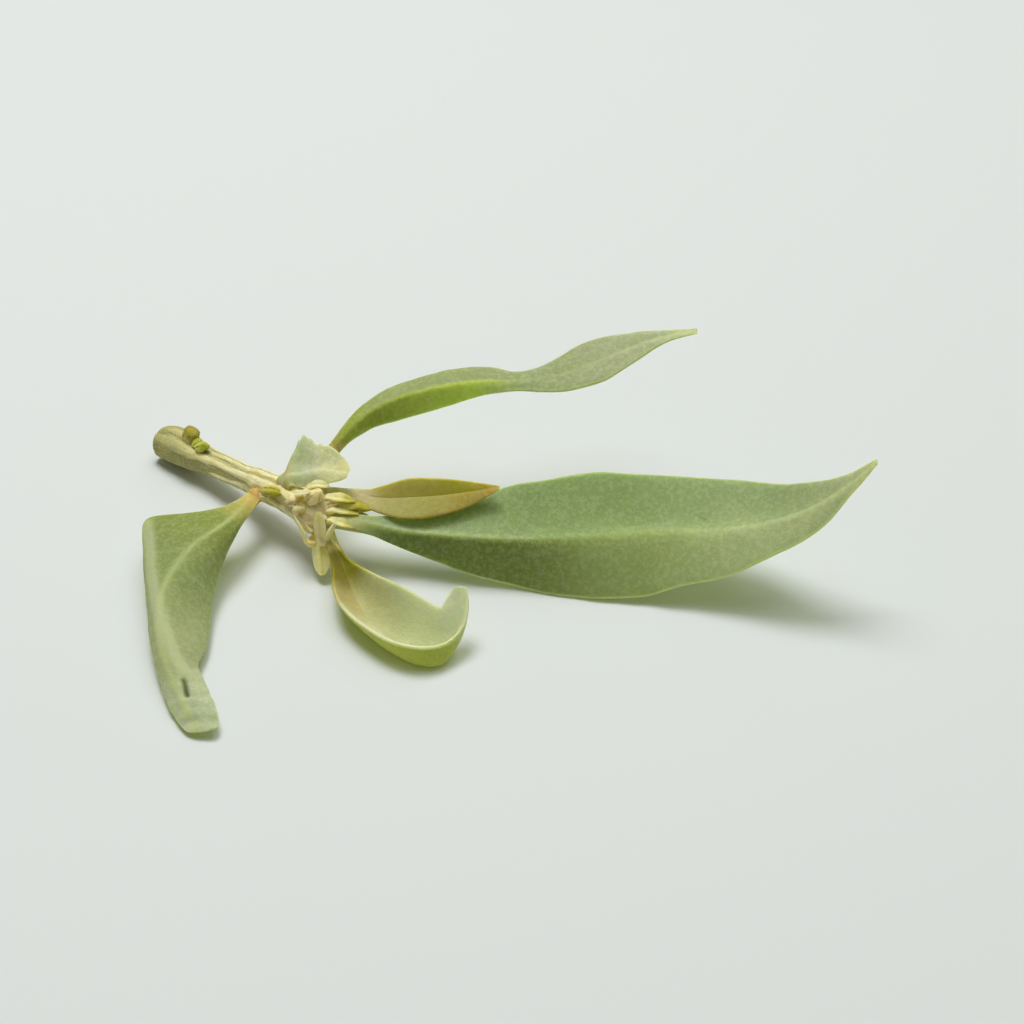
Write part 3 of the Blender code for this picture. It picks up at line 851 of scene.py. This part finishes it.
folded_leaf.data.materials.append(leaf_skin("folded_upper", [
    (0.00, (0.66, 0.60, 0.32)),
    (0.16, (0.68, 0.61, 0.38)),
    (0.30, (0.64, 0.56, 0.16)),
    (0.80, (0.56, 0.51, 0.06)),
    (1.00, (0.48, 0.30, 0.06)),
], [
    (0.00, (0.62, 0.56, 0.30)),
    (0.18, (0.57, 0.51, 0.26)),
    (0.34, (0.42, 0.40, 0.13)),
    (0.55, (0.38, 0.355, 0.09)),
    (0.85, (0.39, 0.31, 0.05)),
    (1.00, (0.44, 0.27, 0.05)),
], scurf=(0.68, 0.64, 0.32), scurf_amount=0.2, pits=(0.32, 0.26, 0.03), margin=(0.46, 0.28, 0.07),
    rib=(0.56, 0.48, 0.12)))
folded_leaf.data.materials.append(leaf_skin("folded_under", [
    (0.00, (0.62, 0.58, 0.30)),
    (0.20, (0.44, 0.40, 0.14)),
    (1.00, (0.34, 0.26, 0.06)),
], scurf=(0.60, 0.55, 0.28), scurf_amount=0.25, pits=(0.22, 0.17, 0.03), margin=(0.52, 0.24, 0.10)))
thicken(folded_leaf, blade=0.42, rib=0.6, stalk=1.15)
finish_piece(folded_leaf, "olive_leaf", "folded_young_leaf")

# TORN PALE LEAF
# The stump of a leaf on top of the stem, opposite the drooping leaf: silvery, torn off short with a
# ragged edge, its near margin folded down over the crown.
TORN_LEAF_ROUTE = [
    (-21.9, -3.4, 6.8),
    (-20.5, -3.7, 7.6),
    (-18.3, -4.3, 8.4),
    (-15.9, -5.4, 9.0),
]
torn_leaf = leaf_sheet("torn_leaf_blade", TORN_LEAF_ROUTE, [
    (0.00, 1.10, 0.90, 10, -40),
    (0.08, 2.20, 1.10, 30, -55),
    (0.18, 3.10, 1.20, 42, -55),
    (0.24, 3.55, 1.30, 45, -55),
    (0.27, 3.25, 1.35, 46, -55),
    (0.33, 3.85, 1.40, 48, -55),
    (0.38, 3.35, 1.40, 47, -55),
    (0.41, 3.40, 1.40, 46, -55),
    (0.46, 2.70, 1.40, 44, -55),
    (0.52, 2.80, 1.35, 42, -53),
    (0.55, 2.55, 1.30, 41, -52),
    (0.62, 2.60, 1.30, 40, -50),
    (0.78, 1.90, 1.10, 30, -40),
    (0.92, 1.20, 0.80, 20, -30),
    (1.00, 0.45, 0.50, 10, -20),
], (70, 34), root=(-22.3, -3.4, 5.2), ripple=0.35, soft_keel=0.35, seed=5.0)
emboss(torn_leaf, TORN_LEAF_ROUTE, groove=0.0, vein=0.02, pucker=0.14, seed=5.0)
torn_leaf.data.materials.append(leaf_skin("pale_upper", [
    (0.00, (0.58, 0.53, 0.22)),
    (0.16, (0.66, 0.69, 0.41)),
    (0.35, (0.70, 0.73, 0.50)),
    (0.65, (0.78, 0.75, 0.43)),
    (1.00, (0.72, 0.68, 0.33)),
], scurf=(0.76, 0.78, 0.58), pits=(0.46, 0.54, 0.32), pits_amount=0.35, margin=(0.74, 0.76, 0.50),
    rib_amount=0.05))
torn_leaf.data.materials.append(leaf_skin("pale_under", [
    (0.00, (0.66, 0.62, 0.34)),
    (1.00, (0.62, 0.66, 0.40)),
], scurf=(0.76, 0.78, 0.58), pits=(0.52, 0.58, 0.36), margin=(0.74, 0.76, 0.50)))
thicken(torn_leaf, blade=0.4, stalk=0.8, rib=0.5)
finish_piece(torn_leaf, "pale_leaf", "torn_pale_leaf")

# CUPPED LEAF
# A short bright leaf in front of the crown, hollow like a trough, lying on its keel with its tip curled
# up and in. Its stalk end is painted dark olive as shade in the hollow, with a brown spot; the pale line
# along its near margin is a painted highlight, and its outer face is painted a deeper olive as shade.
CUPPED_ROWS = [
    # (left margin, keel, right margin), from inside the stem to the tip
    ((-17.5, -8.0, 4.8), (-17.9, -7.9, 4.7), (-18.3, -8.0, 4.7)),
    ((-17.4, -9.1, 4.1), (-17.8, -8.9, 4.0), (-18.3, -9.1, 3.9)),
    ((-16.6, -10.5, 3.5), (-17.1, -10.4, 3.2), (-17.7, -10.8, 3.2)),
    ((-15.6, -11.8, 3.1), (-16.4, -11.7, 2.4), (-17.3, -12.5, 2.9)),
    ((-13.9, -13.7, 3.6), (-15.5, -13.9, 0.9), (-17.3, -15.4, 3.1)),
    ((-12.1, -15.8, 4.3), (-14.0, -17.2, 0.3), (-16.8, -17.9, 3.1)),
    ((-10.3, -17.5, 4.7), (-12.0, -20.2, 0.1), (-15.0, -20.4, 3.1)),
    ((-8.7, -18.8, 4.6), (-9.7, -22.5, 0.0), (-12.3, -23.3, 3.1)),
    ((-7.5, -19.8, 4.4), (-7.5, -23.9, 0.0), (-9.6, -24.5, 3.1)),
    ((-6.8, -20.0, 4.2), (-6.1, -23.5, 0.5), (-7.3, -24.2, 2.8)),
    ((-6.5, -19.9, 4.4), (-5.3, -22.3, 1.5), (-5.6, -22.9, 2.5)),
    ((-6.4, -19.6, 4.6), (-4.8, -21.1, 2.6), (-4.4, -21.2, 3.3)),
    ((-6.0, -19.0, 5.0), (-4.8, -19.8, 3.9), (-4.1, -19.9, 4.5)),
    ((-5.4, -18.4, 5.5), (-4.8, -18.4, 5.4), (-4.3, -18.5, 5.5)),
]
cupped_leaf = leaf_net("cupped_leaf_blade", CUPPED_ROWS, belly=0.25)
emboss(cupped_leaf, [row[1] for row in CUPPED_ROWS], groove=0.04, vein=0.02,
       creases=[((-16.2, -12.6, 2.6), (-15.9, -13.2, 2.2), 0.45, 0.0)], seed=6.0)
cupped_leaf.data.materials.append(leaf_skin("cupped_inner", [
    (0.00, (0.80, 0.74, 0.40)),
    (0.05, (0.66, 0.58, 0.22)),
    # painted shade in the hollow at the stalk end
    (0.10, (0.24, 0.21, 0.01)),
    (0.19, (0.32, 0.30, 0.02)),
    (0.30, (0.60, 0.59, 0.30)),
    (0.55, (0.72, 0.75, 0.45)),
    (0.85, (0.72, 0.74, 0.50)),
    (1.00, (0.64, 0.66, 0.47)),
], [
    (0.00, (0.80, 0.74, 0.40)),
    (0.05, (0.50, 0.42, 0.12)),
    # painted shade in the hollow at the stalk end, deeper on this side
    (0.10, (0.17, 0.14, 0.01)),
    (0.20, (0.24, 0.20, 0.01)),
    (0.28, (0.50, 0.42, 0.15)),
    (0.42, (0.68, 0.67, 0.38)),
    (0.85, (0.72, 0.74, 0.50)),
    (1.00, (0.64, 0.66, 0.47)),
# the pale line on the near margin is a painted highlight
], bare_stalk=0.6, pits_amount=0.08, margin=(0.82, 0.84, 0.56), margin_amount=0.8, margin_left=0.3,
    margin_from=0.38, margin_to=0.72, rib_amount=0.05, crease=(0.56, 0.32, 0.05)))
# The outer face is a deeper, more saturated olive than the inner, as painted shade; its near-margin line is a
# painted highlight.
cupped_leaf.data.materials.append(leaf_skin("cupped_outer", [
    (0.00, (0.80, 0.74, 0.40)),
    (0.12, (0.56, 0.52, 0.14)),
    (0.22, (0.38, 0.40, 0.03)),
    (0.38, (0.42, 0.45, 0.035)),
    (0.54, (0.54, 0.57, 0.08)),
    (0.70, (0.53, 0.57, 0.10)),
    (0.85, (0.66, 0.69, 0.38)),
    (1.00, (0.65, 0.68, 0.48)),
], scurf_amount=0.15, bare_stalk=0.9, margin=(0.82, 0.84, 0.56), margin_amount=0.7, margin_from=0.3,
    margin_to=0.72))
thicken(cupped_leaf, stalk=0.8, rib=0.6, margin=0.30)
finish_piece(cupped_leaf, "bright_leaf", "cupped_leaf")

# BUDS, KNOBS AND THE OLD SCAR
# Small closed buds sit in the angles of the leaves, knobs and pads mark where leaves fell or join, and a
# corky stub is left of a side shoot. Each is a ball drawn out to its length, tapered and furrowed.
FURROW_DEPTH = 0.12
LUMPINESS = 0.16


def bud(name, base, tip, width, thickness, point, furrows, seed):
    """A plump closed bud between its base and its tip.

    point: how much it narrows to its tip, less than 0 where it widens. furrows: how many there are.
    """
    axis = metres(tip) - metres(base)
    bpy.ops.object.select_all(action="DESELECT")
    bpy.ops.mesh.primitive_uv_sphere_add(segments=36, ring_count=28, radius=1.0, location=(0.0, 0.0, 0.0))
    body = bpy.context.object
    body.name = name
    body.data.name = name
    turned = axis.to_track_quat("X", "Z")
    middle = metres(base) + axis / 2.0
    crests, alongs = [], []
    for vertex in body.data.vertices:
        along = vertex.co.z
        turn = math.atan2(vertex.co.y, vertex.co.x)
        crest = abs(math.cos(furrows / 2.0 * turn + 0.6 * along + seed)) ** 0.5
        taper = 1.0 - point * max(along, -0.2) ** 2
        taper *= 1.0 - FURROW_DEPTH * (1.0 - crest)
        lump = 1.0 + LUMPINESS * noise.noise(vertex.co * 2.5 + Vector((seed, 0.0, 0.0)))
        across = vertex.co.x * taper * lump * width / 2.0 * MM
        deep = vertex.co.y * taper * lump * thickness / 2.0 * MM
        vertex.co = turned @ Vector((along * axis.length / 2.0, across, deep)) + middle
        crests.append(crest)
        alongs.append(along / 2.0 + 0.5)
    mark(body, crest=crests, along=alongs)
    return body


def bud_skin(name, base, tip, seam, fleck):
    """A bud's skin: from base colour to tip colour, darker in its furrows, flecked with scurf."""
    skin, tree, shader = new_skin(name)
    here = places_on(tree)
    clumps = grain(tree, here, 0.35, 3.0, 0.6)
    grains = grain(tree, here, 0.14, 2.0, 0.6)
    colour = mixed(tree, step_up(tree, stored(tree, "along"), 0.1, 0.8), base, tip)
    colour = mixed(tree, step_up(tree, stored(tree, "crest"), 0.7, 0.2), colour, seam)
    colour = mixed(tree, step_up(tree, clumps, 0.48, 0.66, 0.45), colour, fleck)
    matt_surface(tree, colour, (0.55, 0.30), clumps, 0.08, grains, 0.04)
    soft_inside(shader, 0.2, 0.5, (0.9, 0.8, 0.2), 0.4)
    return skin


BUD_TINTS = [
    # (name, base, tip, seam, fleck)
    ("olive_bud", (0.68, 0.62, 0.20), (0.48, 0.43, 0.03), (0.24, 0.18, 0.02), (0.68, 0.64, 0.16)),
    ("green_bud", (0.84, 0.80, 0.20), (0.42, 0.46, 0.04), (0.26, 0.24, 0.02), (0.76, 0.76, 0.26)),
    ("scar_cork", (0.78, 0.64, 0.28), (0.40, 0.36, 0.05), (0.30, 0.20, 0.04), (0.62, 0.52, 0.16)),
    ("tan_knob", (0.92, 0.82, 0.44), (0.93, 0.79, 0.40), (0.58, 0.38, 0.14), (0.94, 0.85, 0.48)),
    ("pale_pad", (0.80, 0.68, 0.34), (0.84, 0.74, 0.40), (0.60, 0.38, 0.12), (0.86, 0.80, 0.50)),
    ("brown_pad", (0.60, 0.36, 0.10), (0.64, 0.42, 0.13), (0.36, 0.20, 0.05), (0.72, 0.56, 0.24)),
]
bud_skins = {name: bud_skin(name, *tints) for name, *tints in BUD_TINTS}

BUDS = [
    # (name, base, tip, width, thickness, point, furrows, skin, slot, node)
    ("scar_stub", (-32.9, 6.8, 3.2), (-32.0, 7.1, 5.1), 1.9, 1.7, -0.7, 2, "scar_cork", "old_bark",
     "old_shoot_scar"),
    ("far_bud", (-31.9, 5.5, 3.9), (-30.3, 4.6, 4.8), 1.1, 1.0, 0.45, 3, "green_bud", "bud_scales",
     "far_node_bud"),
    ("drooping_bud", (-24.8, -3.0, 5.2), (-22.4, -5.1, 6.2), 1.3, 1.1, 0.45, 3, "olive_bud", "bud_scales",
     "drooping_leaf_bud"),
    ("upper_bud", (-17.6, -6.7, 6.4), (-13.6, -7.4, 6.1), 1.45, 1.1, 0.45, 3, "olive_bud", "bud_scales",
     "crown_bud_upper"),
    ("lower_bud", (-17.4, -6.9, 5.2), (-13.9, -7.2, 5.1), 1.3, 1.0, 0.45, 3, "olive_bud", "bud_scales",
     "crown_bud_lower"),
    ("tip_bud", (-19.8, -6.4, 6.2), (-18.6, -7.5, 8.3), 1.9, 1.6, 0.30, 4, "tan_knob", "old_bark",
     "terminal_bud"),
    ("far_pad", (-32.2, 6.0, 3.8), (-31.2, 5.6, 4.75), 1.0, 0.8, 0.3, 2, "green_bud", "bud_scales"),
    ("near_pad", (-24.7, -3.0, 4.6), (-24.0, -4.3, 5.2), 1.3, 1.0, 0.3, 3, "pale_pad", "tan_scale"),
    ("stalk_pad", (-25.6, -2.2, 4.4), (-25.2, -4.0, 4.9), 1.3, 1.1, 0.3, 2, "brown_pad", "tan_scale"),
    ("left_crown_knob", (-21.8, -5.0, 5.3), (-20.7, -6.7, 6.7), 1.7, 1.2, 0.3, 3, "tan_knob", "tan_scale"),
    ("right_crown_knob", (-18.6, -6.2, 5.9), (-16.9, -7.2, 6.7), 1.5, 1.2, 0.3, 3, "tan_knob", "tan_scale"),
    ("front_crown_knob", (-21.1, -6.4, 5.2), (-20.2, -7.8, 6.6), 1.5, 1.2, 0.2, 3, "tan_knob", "tan_scale"),
    ("low_crown_knob", (-19.1, -7.4, 4.8), (-18.2, -8.8, 6.0), 1.3, 1.1, 0.2, 3, "tan_knob", "tan_scale"),
]
for number, (name, base, tip, width, thickness, point, furrows, skin, slot, *nodes) in enumerate(BUDS):
    body = bud(name, base, tip, width, thickness, point, furrows, float(number))
    body.data.materials.append(bud_skins[skin])
    finish_piece(body, slot, *nodes)

# DRY SCALES
# Small papery scales and leaf bases crowd the crown and stand round its front, left by leaves that have
# dropped. They are made as the leaves are, thin and without veins.
tan_skin = leaf_skin("tan_scale", [
    (0.00, (0.90, 0.76, 0.36)),
    (0.60, (0.97, 0.87, 0.47)),
    (1.00, (0.94, 0.76, 0.36)),
], scurf=(0.97, 0.91, 0.58), margin=(0.97, 0.90, 0.55), rib=(0.72, 0.54, 0.20), rib_amount=0.5,
    pits=(0.60, 0.48, 0.18), glow=(0.9, 0.8, 0.4))
yellow_skin = leaf_skin("yellow_scale", [
    (0.00, (0.86, 0.79, 0.34)),
    (0.60, (0.92, 0.86, 0.44)),
    (1.00, (0.92, 0.80, 0.36)),
], scurf=(0.95, 0.92, 0.56), margin=(0.96, 0.93, 0.50), rib=(0.62, 0.50, 0.14), rib_amount=0.6,
    pits=(0.56, 0.48, 0.14), pits_amount=0.3, glow=(0.9, 0.8, 0.4))
bud_scale_skin = leaf_skin("bud_scale", [
    (0.00, (0.88, 0.77, 0.40)),
    (0.40, (0.86, 0.78, 0.34)),
    (0.70, (0.58, 0.52, 0.09)),
    (1.00, (0.40, 0.34, 0.04)),
], scurf=(0.90, 0.86, 0.50), scurf_amount=0.2, margin=(0.92, 0.86, 0.44), rib=(0.60, 0.50, 0.12),
    rib_amount=0.3, pits=(0.40, 0.34, 0.06), glow=(0.9, 0.8, 0.3))
SMALL_SCALE = [(0.00, 0.40, 0.40, 10, 10), (0.45, 0.70, 0.70, 15, 15), (1.00, 0.20, 0.20, 5, 5)]
NARROW_SCALE = [(0.00, 0.35, 0.35, 0, 0), (0.45, 0.42, 0.42, 0, 0), (1.00, 0.20, 0.20, 0, 0)]
SCALES = [
    # (name, root, route, stations, twist, skin, node)
    ("front_scale", (-18.3, -8.9, 3.4), [
        (-18.4, -9.7, 3.7), (-18.6, -9.5, 5.3), (-18.7, -9.0, 7.0),
    ], [(0.00, 0.40, 0.40, 0, 0), (0.40, 0.62, 0.62, 0, 0), (0.80, 0.55, 0.55, 0, 0),
        (1.00, 0.20, 0.20, 0, 0)], "MINIMUM", tan_skin, "upright_scale"),
    ("left_scale", (-19.2, -8.6, 3.2), [
        (-19.9, -9.2, 3.4), (-20.4, -9.0, 4.7), (-21.2, -8.2, 6.0),
    ], [(0.00, 0.45, 0.45, 0, 0), (0.40, 0.62, 0.62, 0, 0), (1.00, 0.25, 0.25, 0, 0)], "MINIMUM", tan_skin,
     "side_scale"),
    ("hanging_stub", (-18.6, -7.9, 4.2), [
        (-18.6, -8.7, 3.7), (-18.5, -10.2, 2.3), (-18.4, -11.4, 1.1),
    ], [(0.00, 0.85, 0.95, 0, -25), (0.40, 1.00, 1.10, 0, -35), (0.70, 0.85, 1.00, 0, -35),
        (0.90, 0.50, 0.65, 0, -30), (1.00, 0.20, 0.25, 0, -10)], "Z_UP", yellow_skin, "sheath_stub"),
    ("long_bract", (-23.2, -3.4, 5.6), [
        (-22.3, -4.9, 6.1), (-21.2, -6.4, 6.1), (-20.3, -7.8, 5.4), (-19.4, -8.9, 4.5),
    ], NARROW_SCALE, "Z_UP", tan_skin),
    ("crown_bract_left", (-20.6, -5.6, 5.9), [
        (-20.7, -6.3, 6.9), (-20.3, -6.9, 7.7), (-19.6, -7.4, 8.2),
    ], SMALL_SCALE, "Z_UP", tan_skin),
    ("crown_bract_back", (-20.2, -5.3, 6.0), [
        (-19.8, -5.2, 7.0), (-18.9, -5.4, 7.6), (-17.8, -5.8, 7.7),
    ], SMALL_SCALE, "Z_UP", yellow_skin),
    ("bud_bract_upper", (-18.6, -6.4, 6.0), [
        (-17.9, -6.6, 6.9), (-16.9, -6.9, 7.1), (-15.2, -7.1, 6.9),
    ], SMALL_SCALE, "Z_UP", bud_scale_skin),
    ("bud_bract_near", (-18.3, -7.4, 5.6), [
        (-17.4, -7.8, 6.3), (-16.4, -7.9, 6.3), (-14.9, -7.9, 6.0),
    ], NARROW_SCALE, "Z_UP", bud_scale_skin),
    ("stalk_bract", (-18.2, -7.9, 5.0), [
        (-17.4, -8.7, 5.7), (-16.4, -9.0, 5.6), (-15.2, -9.1, 5.2),
    ], SMALL_SCALE, "Z_UP", bud_scale_skin),
    ("sheath_arm", (-18.4, -8.8, 4.0), [
        (-18.1, -9.7, 4.2), (-17.5, -9.4, 5.2), (-17.0, -8.9, 5.9),
    ], NARROW_SCALE, "MINIMUM", tan_skin),
]
for number, (name, root, route, stations, twist, skin, *nodes) in enumerate(SCALES):
    scale = leaf_sheet(name, route, stations, (36, 12), root, ripple=0.08, twist=twist, seed=7.0 + number)
    emboss(scale, route, groove=0.06, rib_width=0.15, vein=0.0, pucker=0.10, seed=7.0 + number)
    scale.data.materials.append(skin)
    scale.data.materials.append(skin)
    thicken(scale, blade=0.3, stalk=0.5, rib=0.4, margin=0.15)
    finish_piece(scale, "tan_scale", *nodes)

# TABLE, LIGHT AND CAMERA
# The sprig lies on a plain pale matt surface under soft studio light: the main light close above on the
# left, a wide one overhead, a weak one from behind on the right, and an even fill.
FLOOR_SIZE = 3.0
TABLE_COLOUR = (0.76, 0.795, 0.79)
TABLE_ROUGHNESS = 0.85
FILL_COLOUR = (0.98, 1.0, 0.80)
FILL_STRENGTH = 0.165

bpy.ops.object.select_all(action="DESELECT")
bpy.ops.mesh.primitive_plane_add(size=FLOOR_SIZE, location=(0.0, 0.0, 0.0))
floor = bpy.context.object
floor.name = "table_top"
matt, tree, shader = new_skin("pale_table")
wire(tree, TABLE_COLOUR, shader.inputs["Base Color"])
wire(tree, TABLE_ROUGHNESS, shader.inputs["Roughness"])
floor.data.materials.append(matt)

LIGHTS = [
    # (name, towards the light, distance, size, power)
    ("main_light", (-0.20, 0.30, 1.05), 0.60, 0.26, 1.85),
    ("second_light", (0.58, 0.90, 1.0), 1.2, 0.50, 0.7),
    ("overhead_light", (0.12, 0.14, 1.0), 1.2, 1.0, 4.9),
]
for name, towards, distance, size, power in LIGHTS:
    lamp = bpy.data.lights.new(name, "AREA")
    lamp.shape = "DISK"
    lamp.size = size
    lamp.energy = power
    light = bpy.data.objects.new(name, lamp)
    light.location = Vector(towards).normalized() * distance
    light.rotation_euler = Vector(towards).to_track_quat("Z", "Y").to_euler()
    bpy.context.scene.collection.objects.link(light)

studio = bpy.data.worlds.new("studio")
studio.use_nodes = True
fill = studio.node_tree.nodes["Background"].inputs
wire(studio.node_tree, FILL_COLOUR, fill["Color"])
wire(studio.node_tree, FILL_STRENGTH, fill["Strength"])
bpy.context.scene.world = studio
bpy.context.scene.view_settings.view_transform = "Standard"

CAMERA_LOOKS_AT = SPRIG_PLACE * MM
CAMERA_DISTANCE = 350.0 * MM
CAMERA_ELEVATION = math.radians(38.0)
SENSOR_WIDTH = 36.0
FOCAL_LENGTH = 123.05
NEAREST_SEEN = 0.01
lens = bpy.data.cameras.new("photo_camera")
lens.sensor_width = SENSOR_WIDTH
lens.lens = FOCAL_LENGTH
lens.clip_start = NEAREST_SEEN
camera = bpy.data.objects.new("photo_camera", lens)
camera.location = CAMERA_LOOKS_AT + CAMERA_DISTANCE * Vector(
    (0.0, -math.cos(CAMERA_ELEVATION), math.sin(CAMERA_ELEVATION)))
camera.rotation_euler = (math.pi / 2.0 - CAMERA_ELEVATION, 0.0, 0.0)
bpy.context.scene.collection.objects.link(camera)
bpy.context.scene.camera = camera
